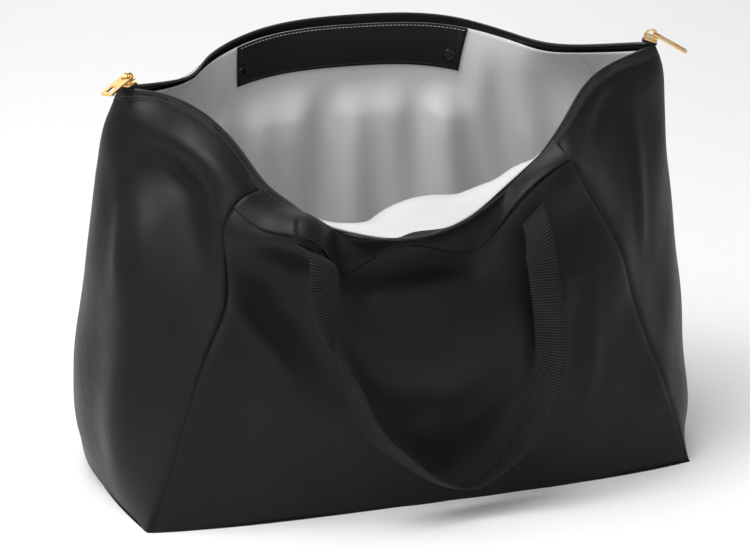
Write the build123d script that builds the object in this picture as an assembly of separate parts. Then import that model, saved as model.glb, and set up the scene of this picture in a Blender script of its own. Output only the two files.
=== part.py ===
from build123d import *
import os
import numpy as np

# Weekender bag, standing open. Millimetres, +Z up, +X along the bag's length, front at -Y.
# The origin is the middle of the flat bottom, on the surface that the bag stands on.

# ---- driving dimensions -------------------------------------------------------------------
base_length = 560.0          # bottom, seam corner to seam corner along X
base_width = 260.0           # bottom, front to back
bag_height = 400.0           # floor to the zip ends at the two top corners
shell_wall = 1.2             # nylon shell with its backing
yoke_wall = 1.0              # band of shell cloth under the zip
lining_wall = 0.8            # satin lining
lining_gap = 3.2             # lining hangs loose this far inside the shell
board_wall = 2.0             # stiffening board in the bottom
board_inset = 9.0            # board stops short of the bottom seams
yoke_depth = 48.0            # zip to the yoke's lower edge
hem_overlap = 20.0           # front and back panels run up under the yoke
tape_depth = 15.0            # zip tape below the teeth
tape_wall = 0.7
cloth_below_teeth = 5.0      # shell cloth stops this far below the teeth
cloth_above_floor = 0.6      # panels are sewn to the bottom this far above the floor
lining_below_teeth = 9.0
teeth_height = 3.0
teeth_wall = 2.6
webbing_width = 30.0
webbing_wall = 1.8
webbing_slot = 2.2           # room between panel and yoke for the webbing
tail_length = 24.0           # sewn end of a handle, hidden under the yoke
tail_setback = 2.0           # sewn end stops this far above the yoke's lower edge
handle_clear = 9.0           # handle's hinge line stands off the cloth by this much
handle_end_gap = 3.0         # handle band starts this far from its hinge line
pocket_foot_share = 0.42     # flat pocket hangs from the yoke down to this share of the panel
pocket_wall = 0.6
pocket_gap = 1.2             # pocket cloth behind the shell
snap_radius = 6.0
snap_height = 2.4
snap_hole = 2.2
snap_inset = 11.0            # snap's middle to the strip's end
snap_above_hem = 16.0
rivet_wall = 0.5
strip_depth = 45.0           # black strip that carries the snaps
strip_wall = 1.2
strip_gap = 0.6
strip_right_share = 0.165    # strip's ends along the back panel, from its right seam
strip_left_share = 0.868
slider_length = 15.0
slider_width = 11.0
slider_height = 5.0
slider_plate = 1.3
bridge_wall = 1.6
bridge_width = 4.0
bridge_rise = 5.6
pull_length = 38.0
pull_width = 12.0
pull_wall = 2.0
pull_slot_length = 13.0
pull_slot_width = 5.0
pull_fork_gap = 5.2          # fork's arms stand either side of the bridge
pull_fork_depth = 6.2        # pivot to the fork's root
pull_pin_radius = 0.8
pull_back = 1.5              # fork's arms reach this far behind the pivot
pull_rim = 3.5               # metal beyond the slot
pull_pivot_along = 2.5       # pivot ahead of the slider's middle
pull_pivot_rise = 2.5        # pivot above the slider's top plate
left_pull_droop = 6.0        # degrees below the slider's line
right_pull_droop = 12.0
end_tab_length = 16.0
end_tab_wall = 3.4

half_length = base_length / 2
half_width = base_width / 2


# ---- the hanging shape of the cloth ---------------------------------------------------------
# Each rib is a line up the cloth from the bottom seam to the zip, as fractions of half the
# length, half the width and the height. The front lip sags out and folds, the back arches up.
def rib(*spots):
    """Return the rib's curve through spots given as (half lengths, half widths, heights)."""
    return Spline([(x * half_length, y * half_width, z * bag_height) for x, y, z in spots])


left_end = rib((-1.043, 0, 0), (-1.088, 0, 0.112), (-1.106, 0, 0.25), (-1.090, 0, 0.388),
               (-1.060, 0, 0.538), (-1.030, 0, 0.675), (-1.004, 0, 0.812), (-0.98, 0, 0.925),
               (-0.925, 0, 1.0))
left_front_side = rib((-1.025, -0.51, 0), (-1.064, -0.555, 0.162), (-1.036, -0.585, 0.368),
                      (-1.0, -0.57, 0.538), (-0.946, -0.492, 0.698), (-0.846, -0.34, 0.832),
                      (-0.811, -0.415, 0.888), (-0.775, -0.355, 0.938), (-0.739, -0.215, 0.972))
left_front_seam = rib((-1.0, -1.0, 0), (-0.943, -1.023, 0.102), (-0.861, -1.054, 0.295),
                      (-0.782, -1.046, 0.448), (-0.707, -0.992, 0.562), (-0.704, -0.92, 0.665),
                      (-0.7, -0.92, 0.745), (-0.636, -0.892, 0.79), (-0.518, -0.792, 0.797))
front_left_strap = rib((-0.55, -1.1, 0), (-0.614, -1.11, 0.108), (-0.575, -1.146, 0.255),
                       (-0.536, -1.154, 0.39), (-0.493, -1.1, 0.52), (-0.464, -1.15, 0.625),
                       (-0.468, -1.3, 0.7), (-0.45, -1.2, 0.75), (-0.414, -1.0, 0.738))
front_middle = rib((0, -1.13, 0), (-0.007, -1.12, 0.1), (-0.018, -1.23, 0.245),
                   (-0.029, -1.323, 0.37), (-0.043, -1.23, 0.49), (-0.071, -1.07, 0.59),
                   (-0.1, -1.0, 0.645), (-0.114, -1.08, 0.685), (-0.125, -1.27, 0.692))
front_right_strap = rib((0.45, -1.11, 0), (0.33, -1.11, 0.095), (0.289, -1.185, 0.235),
                        (0.293, -1.23, 0.385), (0.314, -1.169, 0.525), (0.346, -1.04, 0.64),
                        (0.34, -1.0, 0.725), (0.375, -0.87, 0.768), (0.418, -0.7, 0.778))
right_front_seam = rib((1.0, -1.0, 0), (0.918, -1.015, 0.165), (0.843, -0.992, 0.305),
                       (0.78, -0.962, 0.428), (0.721, -0.938, 0.572), (0.64, -0.9, 0.682),
                       (0.527, -0.885, 0.812), (0.525, -0.715, 0.822), (0.525, -0.546, 0.828))
right_front_side = rib((1.03, -0.508, 0), (1.06, -0.615, 0.088), (1.034, -0.615, 0.252),
                       (0.994, -0.585, 0.412), (0.929, -0.538, 0.568), (0.857, -0.462, 0.715),
                       (0.793, -0.34, 0.838), (0.768, -0.323, 0.908), (0.775, -0.2, 0.962))
right_end = rib((1.043, 0, 0), (1.092, 0, 0.125), (1.124, 0, 0.275), (1.12, 0, 0.425),
                (1.1, 0, 0.588), (1.079, 0, 0.725), (1.061, 0, 0.85), (1.05, 0, 0.938),
                (1.014, 0, 0.998))
left_back_side = rib((-1.04, 0.508, 0), (-1.065, 0.554, 0.12), (-1.056, 0.585, 0.275),
                     (-1.014, 0.615, 0.425), (-0.968, 0.64, 0.58), (-0.912, 0.66, 0.725),
                     (-0.838, 0.64, 0.855), (-0.757, 0.569, 0.93), (-0.661, 0.431, 0.97))
left_back_seam = rib((-1.0, 1.0, 0), (-0.965, 1.031, 0.112), (-0.885, 1.069, 0.275),
                     (-0.804, 1.085, 0.425), (-0.722, 1.085, 0.58), (-0.645, 1.062, 0.73),
                     (-0.588, 1.0, 0.862), (-0.557, 0.923, 0.93), (-0.521, 0.831, 0.985))
back_left_strap = rib((-0.507, 1.035, 0), (-0.5, 1.1, 0.112), (-0.482, 1.177, 0.262),
                      (-0.457, 1.223, 0.425), (-0.429, 1.246, 0.588), (-0.404, 1.246, 0.75),
                      (-0.379, 1.208, 0.905), (-0.361, 1.154, 0.972), (-0.332, 1.062, 1.018))
back_middle = rib((0, 1.05, 0), (0, 1.123, 0.112), (0, 1.215, 0.262), (0, 1.285, 0.425),
                  (0.007, 1.323, 0.588), (0.018, 1.323, 0.75), (0.032, 1.277, 0.91),
                  (0.055, 1.231, 0.978), (0.096, 1.154, 1.035))
back_right_strap = rib((0.507, 1.035, 0), (0.504, 1.1, 0.112), (0.489, 1.177, 0.262),
                       (0.468, 1.223, 0.425), (0.446, 1.246, 0.588), (0.429, 1.246, 0.75),
                       (0.427, 1.2, 0.895), (0.443, 1.138, 0.96), (0.475, 1.046, 1.01))
right_back_seam = rib((1.0, 1.0, 0), (0.946, 1.031, 0.112), (0.882, 1.069, 0.275),
                      (0.821, 1.085, 0.425), (0.757, 1.085, 0.58), (0.693, 1.062, 0.725),
                      (0.645, 1.0, 0.85), (0.635, 0.923, 0.91), (0.65, 0.815, 0.975))
right_back_side = rib((1.025, 0.508, 0), (1.057, 0.554, 0.12), (1.071, 0.585, 0.275),
                      (1.061, 0.615, 0.425), (1.036, 0.631, 0.58), (0.993, 0.646, 0.725),
                      (0.936, 0.6, 0.85), (0.864, 0.508, 0.92), (0.786, 0.385, 0.975))

# The front lining leaves the zip inwards, clear of the fold of the lip, and hangs to the floor.
lining_left_seam = rib((-0.982, -0.962, 0.01), (-0.925, -0.985, 0.102), (-0.843, -1.016, 0.295),
                       (-0.764, -1.008, 0.448), (-0.689, -0.954, 0.562), (-0.67, -0.87, 0.665),
                       (-0.64, -0.82, 0.735), (-0.585, -0.78, 0.77), (-0.52, -0.765, 0.785))
lining_left_strap = rib((-0.55, -1.0, 0.01), (-0.6, -1.05, 0.108), (-0.56, -1.08, 0.255),
                        (-0.52, -1.03, 0.39), (-0.47, -0.93, 0.52), (-0.435, -0.84, 0.63),
                        (-0.42, -0.86, 0.69), (-0.414, -0.94, 0.725))
lining_middle = rib((0, -1.01, 0.01), (-0.007, -1.05, 0.1), (-0.018, -1.13, 0.245),
                    (-0.029, -1.12, 0.37), (-0.043, -0.98, 0.49), (-0.08, -0.83, 0.6),
                    (-0.105, -0.88, 0.665), (-0.12, -1.08, 0.69), (-0.124, -1.19, 0.688))
lining_right_strap = rib((0.4, -1.0, 0.01), (0.3, -1.05, 0.095), (0.29, -1.11, 0.235),
                         (0.295, -1.08, 0.385), (0.315, -0.96, 0.525), (0.35, -0.78, 0.65),
                         (0.39, -0.63, 0.73), (0.412, -0.64, 0.764))
lining_right_seam = rib((0.982, -0.962, 0.01), (0.9, -0.977, 0.165), (0.825, -0.954, 0.305),
                        (0.762, -0.924, 0.428), (0.69, -0.86, 0.572), (0.61, -0.74, 0.69),
                        (0.545, -0.59, 0.775), (0.522, -0.53, 0.808))

front_ribs = [left_front_seam, front_left_strap, front_middle, front_right_strap, right_front_seam]
# The back lining hangs almost straight down from the zip.
lining_right_back_seam = rib((0.982, 0.962, 0.01), (0.93, 0.993, 0.112), (0.866, 1.03, 0.275),
                             (0.805, 1.04, 0.425), (0.742, 1.03, 0.58), (0.685, 0.985, 0.725),
                             (0.645, 0.9, 0.85), (0.64, 0.845, 0.91), (0.645, 0.81, 0.955))
lining_back_right = rib((0.507, 0.995, 0.01), (0.504, 1.055, 0.112), (0.489, 1.12, 0.262),
                        (0.468, 1.15, 0.425), (0.446, 1.15, 0.588), (0.43, 1.115, 0.75),
                        (0.44, 1.06, 0.895), (0.456, 1.045, 0.95), (0.47, 1.045, 0.988))
lining_back_middle = rib((0, 1.01, 0.01), (0, 1.08, 0.112), (0, 1.16, 0.262), (0, 1.21, 0.425),
                         (0.007, 1.22, 0.588), (0.018, 1.195, 0.75), (0.04, 1.15, 0.91),
                         (0.07, 1.145, 0.97), (0.09, 1.155, 1.01))
lining_back_left = rib((-0.507, 0.995, 0.01), (-0.5, 1.055, 0.112), (-0.482, 1.12, 0.262),
                       (-0.457, 1.15, 0.425), (-0.429, 1.15, 0.588), (-0.4, 1.12, 0.75),
                       (-0.36, 1.075, 0.905), (-0.348, 1.06, 0.96), (-0.336, 1.06, 0.996))
lining_left_back_seam = rib((-0.982, 0.962, 0.01), (-0.925, 0.993, 0.112), (-0.85, 1.03, 0.275),
                            (-0.786, 1.04, 0.425), (-0.715, 1.03, 0.58), (-0.645, 0.985, 0.73),
                            (-0.575, 0.91, 0.862), (-0.545, 0.86, 0.92), (-0.525, 0.83, 0.965))

lining_ribs = [lining_left_seam, lining_left_strap, lining_middle, lining_right_strap,
               lining_right_seam]
lining_back_ribs = [lining_right_back_seam, lining_back_right, lining_back_middle,
                    lining_back_left, lining_left_back_seam]
back_ribs = [right_back_seam, back_right_strap, back_middle, back_left_strap, left_back_seam]
left_ribs = [left_back_seam, left_back_side, left_end, left_front_side, left_front_seam]
right_ribs = [right_front_seam, right_front_side, right_end, right_back_side, right_back_seam]
front_rim_ribs = [left_end, left_front_side, *front_ribs, right_front_side, right_end]
back_rim_ribs = [right_end, right_back_side, *back_ribs, left_back_side, left_end]


# ---- helpers ---------------------------------------------------------------------------------
def up_the_rib(curve, above_base):
    """Return the rib's point at a length above the bottom seam."""
    return curve.position_at(above_base, position_mode=PositionMode.LENGTH)


def cloth(ribs, low, high, rows, columns, left=0.0, right=1.0):
    """Return a grid of points on the cloth between two levels.

    A level is a function of the rib's length. Each row is a spline through the ribs.
    """
    grid = []
    for row in range(rows):
        share = row / (rows - 1)
        spots = [up_the_rib(r, low(r.length) * (1 - share) + high(r.length) * share) for r in ribs]
        line = Spline(spots)
        steps = [left + (right - left) * c / (columns - 1) for c in range(columns)]
        grid.append([tuple(line.position_at(s)) for s in steps])
    return np.array(grid)


def outward(grid):
    """Return the unit normals of a grid that runs left to right when seen from outside."""
    across = np.gradient(grid, axis=1)
    up = np.gradient(grid, axis=0)
    normal = np.cross(across, up)
    return normal / np.linalg.norm(normal, axis=2, keepdims=True)


def closed_layer(outside, inside):
    """Return the solid between two grids of points that run side by side."""
    faces = []
    for grid in (outside, inside):
        points = [[Vector(*p) for p in row] for row in grid]
        faces.append(Face.make_surface_from_array_of_points(points, tol=0.05))
    walls = []
    for edge in faces[0].edges():
        partner = min(faces[1].edges(), key=lambda e: (e @ 0.5 - edge @ 0.5).length)
        walls.append(Face.make_surface_from_curves(edge, partner))
    return Solid(Shell([*faces, *walls]))


def sheet(grid, outer, inner):
    """Return a solid layer of cloth between two offsets of the grid, outward positive.

    outer may be one number or one for each row; the layer's wall is outer minus inner.
    """
    outer = np.broadcast_to(np.asarray(outer, dtype=float), (grid.shape[0],))
    normal = outward(grid)
    wall = outer[0] - inner
    return closed_layer(grid + normal * outer[:, None, None],
                        grid + normal * (outer - wall)[:, None, None])


def below_teeth(distance):
    """Return a level at a distance below the zip teeth."""
    return lambda length: length - distance


def above_base(distance):
    """Return a level at a distance above the bottom seam."""
    return lambda length: distance


def spot_on(ribs, share, level, offset=0.0):
    """Return a point of the cloth, its direction across, its direction up and its normal."""
    step = 0.01
    shares = (share - step, share, share + step)
    rows = []
    for nudge in (-1.0, 0.0, 1.0):
        line = Spline([up_the_rib(r, level(r.length) + nudge) for r in ribs])
        rows.append([line.position_at(s) for s in shares])
    across = (rows[1][2] - rows[1][0]).normalized()
    up = (rows[2][1] - rows[0][1]).normalized()
    normal = across.cross(up).normalized()
    return rows[1][1] + normal * offset, across, up, normal


def save(node, solids):
    """Write one sub-part, made of one or more solids."""
    solids = solids if isinstance(solids, list) else [solids]
    export_step(Compound(children=[s.solid() if len(s.solids()) == 1 else s for s in solids]),
                f"parts/{node}.step")


def wall_of(ribs, outer, wall, low, high, rows=15, columns=17, left=0.0, right=1.0):
    """Return one sewn panel of cloth."""
    return sheet(cloth(ribs, low, high, rows, columns, left, right), outer, outer - wall)


# ---- bottom ----------------------------------------------------------------------------------
def bottom_outline(inset):
    """Return the slightly bowed bottom as a face, moved in by inset."""
    x = half_length - inset
    y = half_width - inset
    bow_front = half_width * 0.12
    bow_back = half_width * 0.05
    bow_side = half_length * 0.043
    edges = [ThreePointArc((-x, -y), (0, -y - bow_front), (x, -y)),
             ThreePointArc((x, -y), (x + bow_side, 0), (x, y)),
             ThreePointArc((x, y), (0, y + bow_back), (-x, y)),
             ThreePointArc((-x, y), (-x - bow_side, 0), (-x, -y))]
    return make_face(edges)


def bottom_layer(inset, height, wall):
    """Return a flat layer of the bottom at a height above the floor."""
    return Pos(0, 0, height) * extrude(bottom_outline(inset), wall)


# ---- handles ---------------------------------------------------------------------------------
def handle_band(path, across):
    """Return the webbing band along path, where across gives its width direction there."""
    steps = 61
    shares = [k / (steps - 1) for k in range(steps)]
    edges = [Spline([p + w.normalized() * side for p, w in zip(path, across)])
             for side in (-webbing_width / 2, webbing_width / 2)]
    rows = np.array([[tuple(edge @ s) for s in shares] for edge in edges])
    rows = np.stack([rows[0], (rows[0] + rows[1]) / 2, rows[1]])
    return sheet(rows, webbing_wall / 2, -webbing_wall / 2)


def strap_share(ribs, index):
    """Return how far along the yoke's lower edge a strap's rib lies."""
    spots = [up_the_rib(r, r.length - yoke_depth) for r in ribs]
    return Spline(spots).param_at_point(spots[index])


def hinge_spot(ribs, index):
    """Return the spot where a handle leaves the yoke, off the cloth by the hinge clearance."""
    return spot_on(ribs, strap_share(ribs, index), below_teeth(yoke_depth), handle_clear)[0]


def tail(ribs, index):
    """Return the sewn end of the webbing, flat on the panel under the yoke."""
    middle = strap_share(ribs, index)
    row = Spline([up_the_rib(r, r.length - yoke_depth) for r in ribs])
    half_share = webbing_width / 2 / row.length
    low = below_teeth(yoke_depth - tail_setback)
    high = below_teeth(yoke_depth - tail_setback - tail_length)
    return wall_of(ribs, (webbing_slot + webbing_wall) / 2, webbing_wall, low, high, 5, 5,
                   middle - half_share, middle + half_share)


def handle_route(ribs, route):
    """Return the band's centre line from one hinge spot to the other."""
    start, stop = hinge_spot(ribs, 1), hinge_spot(ribs, 3)
    middle = [Vector(x * half_length, y * half_width, z * bag_height) for x, y, z in route]
    if (start - middle[0]).length > (stop - middle[0]).length:
        start, stop = stop, start
    first = start + (middle[0] - start).normalized() * handle_end_gap
    last = stop + (middle[-1] - stop).normalized() * handle_end_gap
    return [first, *middle, last], start, stop


# ---- zip hardware ----------------------------------------------------------------------------
def slider():
    """Return a slider along +X, bridge on top, with its two plates and the post between."""
    plate = Box(slider_length, slider_width, slider_plate)
    plate = fillet(plate.edges().filter_by(Axis.Z), slider_width * 0.3)
    rise = (slider_height - slider_plate) / 2
    post = Pos(slider_length * 0.3, 0, 0) * Cylinder(1.6, slider_height)
    arch_length = slider_length * 0.45
    outer = Rot(90, 0, 0) * extrude(Ellipse(arch_length, bridge_rise + bridge_wall),
                                    bridge_width / 2, both=True)
    inner = Rot(90, 0, 0) * extrude(Ellipse(arch_length - bridge_wall, bridge_rise),
                                    bridge_width, both=True)
    above = Pos(0, 0, slider_length) * Box(slider_length * 2, slider_width, slider_length * 2)
    bridge = Pos(0, 0, rise) * ((outer - inner) & above)
    return Pos(0, 0, rise) * plate + Pos(0, 0, -rise) * plate + post + bridge


def pull_tab():
    """Return a pull tab along +X from its pivot at the origin, with a pinned fork and a slot."""
    body = Pos(pull_length / 2 - pull_back, 0, 0) * Box(pull_length, pull_width, pull_wall)
    body = fillet(body.edges().filter_by(Axis.Z), pull_width * 0.1)
    tip = pull_length - pull_back
    slot = Box(pull_slot_length, pull_slot_width, pull_wall * 2)
    slot = fillet(slot.edges().filter_by(Axis.Z), pull_slot_width * 0.3)
    slot = Pos(tip - pull_rim - pull_slot_length / 2, 0, 0) * slot
    fork = Pos((pull_fork_depth - pull_back) / 2, 0, 0) * Box(
        pull_fork_depth + pull_back, pull_fork_gap, pull_wall * 2)
    pin = Rot(90, 0, 0) * Cylinder(pull_pin_radius, pull_width - 1)
    return body - slot - fork + pin


def zip_end():
    """Return the folded cloth tab that closes the zip's end below the slider."""
    tab = Box(end_tab_length, slider_width + 3, end_tab_wall)
    return fillet(tab.edges().filter_by(Axis.Z), end_tab_wall * 0.7)


os.makedirs("parts", exist_ok=True)

# ---- shell ------------------------------------------------------------------------------------
panel_low = above_base(cloth_above_floor)
panel_high = below_teeth(cloth_below_teeth)
hem_high = below_teeth(yoke_depth - hem_overlap)
yoke_low = below_teeth(yoke_depth)
save("front_panel", wall_of(front_ribs, 0.0, shell_wall, panel_low, hem_high, 21, 25))
save("back_panel", wall_of(back_ribs, 0.0, shell_wall, panel_low, hem_high, 21, 25))
save("left_side_panel", wall_of(left_ribs, 0.0, shell_wall, panel_low, panel_high, 21, 25))
save("right_side_panel", wall_of(right_ribs, 0.0, shell_wall, panel_low, panel_high, 21, 25))

yoke_rows = 9
yoke_lift = np.linspace(webbing_slot + yoke_wall, tape_wall / 2 + yoke_wall, yoke_rows)
for name, ribs in (("front_yoke", front_ribs), ("back_yoke", back_ribs)):
    band = cloth(ribs, yoke_low, panel_high, yoke_rows, 25)
    save(name, sheet(band, yoke_lift, yoke_lift[0] - yoke_wall))

save("base_panel", bottom_layer(shell_wall / 2, 0.0, shell_wall))
save("base_board", bottom_layer(board_inset, shell_wall, board_wall))
floor_top = shell_wall + board_wall
save("lining_floor", bottom_layer(lining_gap + shell_wall, floor_top, lining_wall))

# ---- lining -----------------------------------------------------------------------------------
lining_out = -(shell_wall + lining_gap)
lining_low = above_base(floor_top + lining_wall)
lining_high = below_teeth(lining_below_teeth)
for name, ribs in (("lining_left", left_ribs), ("lining_right", right_ribs)):
    save(name, wall_of(ribs, lining_out, lining_wall, lining_low, lining_high, 21, 25))
for name, ribs in (("lining_front", lining_ribs), ("lining_back", lining_back_ribs)):
    save(name, wall_of(ribs, 0.0, lining_wall, above_base(0.0), below_teeth(0.0), 21, 25))

# ---- zip --------------------------------------------------------------------------------------
for name, ribs in (("front", front_rim_ribs), ("back", back_rim_ribs)):
    tape = cloth(ribs, below_teeth(tape_depth), below_teeth(teeth_height), 4, 49)
    save(f"{name}_zip_tape", sheet(tape, tape_wall / 2, -tape_wall / 2))
    teeth = cloth(ribs, below_teeth(teeth_height), below_teeth(0.0), 3, 49)
    save(f"{name}_zip_teeth", sheet(teeth, teeth_wall / 2, -teeth_wall / 2))

# ---- pocket behind the front panel --------------------------------------------------------------
def pocket_low(length):
    """Return the level of the pocket's foot."""
    return (length - yoke_depth + hem_overlap) * pocket_foot_share


save("front_pocket_lining", wall_of(front_ribs, -shell_wall - pocket_gap, pocket_wall, pocket_low,
                                    hem_high, 17, 25, 0.06, 0.94))

# ---- snap strip on the back lining ---------------------------------------------------------------
strip_out = -lining_wall - strip_gap
strip_low = below_teeth(strip_depth)
strip_high = below_teeth(0.0)
save("back_snap_strip", wall_of(lining_back_ribs, strip_out, strip_wall, strip_low, strip_high, 7, 17,
                                strip_right_share, strip_left_share))
row_length = Spline([up_the_rib(r, r.length - strip_depth) for r in lining_back_ribs]).length
sockets = []
rivets = []
for share in (strip_right_share + snap_inset / row_length, strip_left_share - snap_inset / row_length):
    level = below_teeth(strip_depth - snap_above_hem)
    spot, across, up, normal = spot_on(lining_back_ribs, share, level, strip_out - strip_wall)
    frame = Plane(origin=spot, x_dir=across, z_dir=normal * -1)
    disc = Pos(0, 0, snap_height / 2) * Cylinder(snap_radius, snap_height)
    disc = fillet(disc.edges().group_by(Axis.Z)[-1], snap_height * 0.35)
    hole = Pos(0, 0, snap_height) * Cylinder(snap_hole, snap_height * 1.4)
    sockets.append(frame * (disc - hole))
    cap = Pos(0, 0, -strip_wall - rivet_wall / 2) * Cylinder(snap_radius - 1, rivet_wall)
    rivets.append(frame * cap)
save("snap_sockets", sockets)
save("snap_rivets", rivets)

# ---- handles ----------------------------------------------------------------------------------
# The band lies flat at both ends and turns edge-on at the bottom of its loop.
front_route = [(-0.443, -1.4, 0.685), (-0.432, -1.438, 0.595), (-0.425, -1.462, 0.527),
               (-0.407, -1.485, 0.46), (-0.371, -1.5, 0.41), (-0.336, -1.508, 0.348),
               (-0.261, -1.492, 0.24), (-0.168, -1.469, 0.175), (-0.082, -1.446, 0.122),
               (0.0, -1.431, 0.085), (0.086, -1.415, 0.068), (0.2, -1.4, 0.108),
               (0.289, -1.392, 0.175), (0.35, -1.385, 0.255), (0.379, -1.369, 0.325),
               (0.389, -1.346, 0.4), (0.382, -1.308, 0.498), (0.371, -1.254, 0.585),
               (0.361, -1.177, 0.672)]
front_across = [(1, 0, 0), (1, 0, 0), (0.97, 0.25, 0), (0.8, 0.6, -0.1), (0.32, 0.9, -0.3),
                (-0.05, 0.95, -0.3), (-0.3, 0.9, -0.3), (-0.4, 0.87, -0.3), (-0.25, 0.9, -0.35),
                (-0.12, 0.93, -0.34), (-0.04, 0.94, -0.33), (0, 0.94, -0.33), (-0.1, 0.97, -0.2),
                (-0.3, 0.93, 0.1), (-0.6, 0.75, 0.3), (-0.78, 0.6, 0.25), (-0.93, 0.35, 0.05),
                (-0.98, 0.15, 0), (-1, 0.05, 0), (-1, 0, 0), (-1, 0, 0)]
back_route = [(-0.386, 1.385, 0.83), (-0.4, 1.44, 0.73), (-0.4, 1.49, 0.63), (-0.375, 1.51, 0.54),
              (-0.32, 1.525, 0.455), (-0.232, 1.53, 0.38), (-0.125, 1.53, 0.325),
              (0.02, 1.53, 0.3), (0.16, 1.53, 0.325), (0.28, 1.53, 0.38), (0.368, 1.525, 0.455),
              (0.42, 1.51, 0.54), (0.443, 1.49, 0.63), (0.443, 1.44, 0.73), (0.432, 1.375, 0.82)]
back_across = [(-1, 0, 0), (-1, 0, 0), (-0.97, -0.2, 0), (-0.85, -0.5, -0.05), (-0.6, -0.78, -0.1),
               (-0.3, -0.93, -0.15), (-0.1, -0.97, -0.2), (0, -0.97, -0.22), (0, -0.97, -0.2),
               (0, -0.97, -0.2), (0.1, -0.97, -0.15), (0.3, -0.93, -0.1), (0.6, -0.78, -0.05),
               (0.85, -0.5, 0), (0.97, -0.2, 0), (1, 0, 0), (1, 0, 0)]
for name, ribs, route, across in (("front", front_ribs, front_route, front_across),
                                  ("back", back_ribs, back_route, back_across)):
    path, start, stop = handle_route(ribs, route)
    save(f"{name}_handle", handle_band(path, [Vector(*w) for w in across]))
    save(f"{name}_handle_tails", [tail(ribs, 1), tail(ribs, 3)])
    print(name, "handle hinge from", start, "to", stop, "band length", Spline(path).length)

# ---- zip hardware -------------------------------------------------------------------------------
slider_lift = slider_height / 2 + end_tab_wall
left_frame = Plane(origin=left_end @ 1 + Vector(4, -2, slider_lift),
                   x_dir=(-0.72, -0.69, -0.02), z_dir=(-0.1, -0.08, 1))
right_frame = Plane(origin=right_end @ 1 + Vector(-4, -1, slider_lift),
                    x_dir=(0.87, -0.40, -0.29), z_dir=(0.28, -0.1, 1))
pivot = Pos(pull_pivot_along, 0, slider_height / 2 + pull_pivot_rise)
end_spot = Pos(0, 0, -(slider_height + end_tab_wall) / 2)
for name, frame, droop in (("left", left_frame, left_pull_droop),
                           ("right", right_frame, right_pull_droop)):
    save(f"{name}_slider", frame * slider())
    save(f"{name}_zip_end", frame * end_spot * zip_end())
    save(f"{name}_pull", frame * pivot * Rot(0, droop, 0) * pull_tab())
    print(name, "pull pivot", (frame * pivot).position, "axis", frame.y_dir)
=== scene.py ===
"""Weekender bag, standing open on the floor with its two handles hanging down.

Metres, +Z up, +X along the bag's length, front at -Y, origin at the middle of the flat bottom.
The cloth is one drape: ribs run up it from the bottom seam to the zip, rows are splines through
the ribs, and every panel, lining, zip and stitch is worked out on that drape.
"""

import bpy
import numpy as np
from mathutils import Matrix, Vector


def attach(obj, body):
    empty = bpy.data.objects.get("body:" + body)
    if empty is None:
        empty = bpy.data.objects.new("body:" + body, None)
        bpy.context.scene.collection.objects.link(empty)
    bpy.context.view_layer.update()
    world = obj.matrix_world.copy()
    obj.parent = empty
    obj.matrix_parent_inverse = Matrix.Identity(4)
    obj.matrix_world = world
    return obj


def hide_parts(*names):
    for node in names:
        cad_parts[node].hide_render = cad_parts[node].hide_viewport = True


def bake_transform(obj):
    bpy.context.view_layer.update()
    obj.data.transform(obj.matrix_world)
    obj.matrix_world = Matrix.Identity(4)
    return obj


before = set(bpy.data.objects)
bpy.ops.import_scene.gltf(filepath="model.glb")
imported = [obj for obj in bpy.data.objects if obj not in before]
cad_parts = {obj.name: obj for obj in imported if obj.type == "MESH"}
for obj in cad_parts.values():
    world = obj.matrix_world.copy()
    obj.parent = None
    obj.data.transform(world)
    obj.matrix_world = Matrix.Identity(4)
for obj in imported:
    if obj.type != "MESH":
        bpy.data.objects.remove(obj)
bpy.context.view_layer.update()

# ---- sizes, metres ----
HALF = np.array([0.280, 0.130, 0.400])   # half length, half width, height of the zip ends
SHELL_WALL = 0.0012
YOKE_WALL = 0.0010
LINING_WALL = 0.0008
LINING_OUT = -0.0044                     # lining's outer face, inside the shell's outer face
TAPE_WALL = 0.0007
YOKE_DEPTH = 0.048
HEM_LEVEL = 0.028
CLOTH_LEVEL = 0.005                      # shell cloth stops this far below the teeth
TEETH_HEIGHT = 0.003
WEBBING_WIDTH = 0.030
WEBBING_WALL = 0.0018
FINE = 0.0035                            # cloth grid spacing
POCKET_FOOT = 0.42
POCKET_IN = 0.0024                       # pocket lining's outer face, inside the shell's outer face
POCKET_WALL = 0.0006
FLOOR_HEIGHT = 0.0043                    # floor lining's outer face, over the board
FLOOR_INSET = 0.0034
YOKE_STAND = 0.00135                     # yoke's outer face off the drape beside the zip
YOKE_CLOSE = 0.0011                      # how much of that is gone at the lower edge
YOKE_SLOT = 0.0025                       # extra room for the webbing at each strap
YOKE_ROWS = 22
TAPE_WIDTH = 0.015
TAPE_TOP = 0.0009                        # tape stops this far below the teeth
COIL_PITCH = 0.00125
COIL_LENGTH, COIL_HIGH = 0.0009, 0.0026
STITCH_SIZE = (0.0027, 0.0006, 0.0005)   # each stitch: length, width, height
STITCH_PITCH = 0.0036
ZIP_STITCH_DEPTH = 0.0105
STRIP_STITCH_SIZE = (0.0026, 0.0006, 0.0005)
STRIP_STITCH_PITCH = 0.0042
STRIP_WALL = 0.0012
STRIP_OUT = 0.0014                       # strip's face, inside the lining's outer face
LINING_ROWS = 110
LINING_SPACING = 0.004
HINGE_CLEAR = 0.0075                     # webbing's hinge line off the panel
BLEND_REACH = 0.004                      # half the length over which the webbing bends


# ---- camera, light and floor ----
def look_at(thing, eye, target):
    """Place a camera or light at eye, facing target."""
    thing.location = eye
    thing.rotation_euler = (Vector(target) - Vector(eye)).to_track_quat("-Z", "Y").to_euler()
    bpy.context.scene.collection.objects.link(thing)
    return thing


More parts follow.
